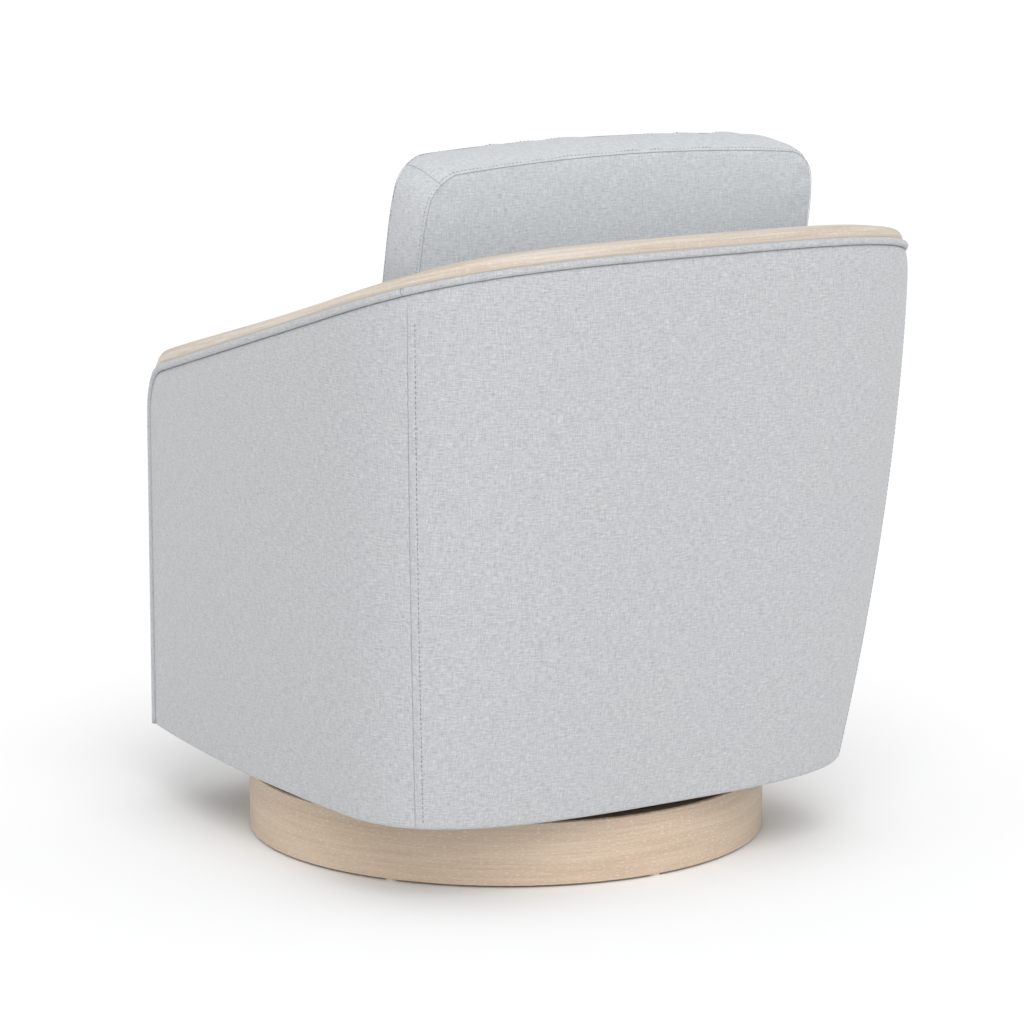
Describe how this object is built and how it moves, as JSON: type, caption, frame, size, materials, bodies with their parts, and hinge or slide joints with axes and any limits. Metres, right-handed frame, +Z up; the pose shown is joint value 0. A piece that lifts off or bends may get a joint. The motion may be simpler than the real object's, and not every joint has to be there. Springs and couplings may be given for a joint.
{
  "type": "swivel rocker",
  "caption": "Upholstered barrel swivel rocker in pale grey weave, with a wood trim rail along the arms and back and a round wood plinth.",
  "frame": {"origin": "centre of the overall box at the floor; the swivel axis stands 21 mm in front of it", "axes": "+Z up, -Y towards the chair's front, +X towards the sitter's left hand"},
  "size_m": [0.7394, 0.7726, 0.8335],
  "materials": {
    "fabric": "woven",
    "oak_finish": "satin limed oak",
    "plywood": "raw",
    "frame_wood": "raw",
    "zinc_steel": "zinc plated",
    "spring_steel": "oiled black",
    "rubber": "matt",
    "glide_plastic": "matt",
    "webbing": "woven elastic",
    "dust_cloth": "non-woven"
  },
  "bodies": {
    "base": {"plinth_ring": "oak_finish", "plinth_board": "plywood", "plinth_blocks": "plywood", "floor_glides": "glide_plastic", "swivel_lower_plate": "zinc_steel", "plate_bolts": "zinc_steel", "centre_pin": "zinc_steel", "pin_nut": "zinc_steel"},
    "ball_cage": {"ball_cage": "zinc_steel", "bearing_balls": "zinc_steel"},
    "turntable": {"swivel_upper_plate": "zinc_steel", "spring_base_left": "zinc_steel", "spring_base_right": "zinc_steel", "bracket_bolts": "zinc_steel", "bump_stops": "rubber", "spring_front_left": "spring_steel", "spring_front_right": "spring_steel", "spring_rear_left": "spring_steel", "spring_rear_right": "spring_steel"},
    "seat": {"rocker_bracket_left": "zinc_steel", "rocker_bracket_right": "zinc_steel", "rail_bolts": "zinc_steel", "rocker_rail_left": "frame_wood", "rocker_rail_right": "frame_wood", "bottom_hoop": "frame_wood", "top_hoop": "frame_wood", "front_post_left": "frame_wood", "front_post_right": "frame_wood", "side_post_left": "frame_wood", "side_post_right": "frame_wood", "corner_post_left": "frame_wood", "corner_post_right": "frame_wood", "back_posts": "frame_wood", "front_base_rail": "frame_wood", "seat_rail_front": "frame_wood", "seat_rail_back": "frame_wood", "seat_rail_left": "frame_wood", "seat_rail_right": "frame_wood", "webbing_along": "webbing", "webbing_across": "webbing", "seat_deck": "fabric", "dust_cover": "dust_cloth", "outer_panel_left": "fabric", "outer_panel_back": "fabric", "outer_panel_right": "fabric", "outer_welt": "fabric", "wood_trim_rail": "oak_finish", "inner_welt": "fabric", "inner_arm_left": "fabric", "inner_arm_right": "fabric", "inner_back": "fabric", "front_border": "fabric", "seat_cushion": "fabric", "back_cushion": "fabric"}
  },
  "joints": [
    {"name": "swivel", "type": "hinge", "parent": "base", "child": "turntable", "pos_m": [0, -0.021, 0.04926], "axis": [0, 0, 1], "continuous": true},
    {"name": "cage_spin", "type": "hinge", "parent": "base", "child": "ball_cage", "pos_m": [0, -0.021, 0.04926], "axis": [0, 0, 1], "continuous": true},
    {"name": "rock", "type": "hinge", "parent": "turntable", "child": "seat", "pos_m": [0, -0.021, 0.08403], "axis": [-1, 0, 0], "range_deg": [-5, 5], "stiffness_Nm_per_rad": 400, "deforming": ["spring_front_left", "spring_front_right", "spring_rear_left", "spring_rear_right"]}
  ],
  "couplings": [
    {"joint": "cage_spin", "follows": "swivel", "ratio": 0.5}
  ]
}
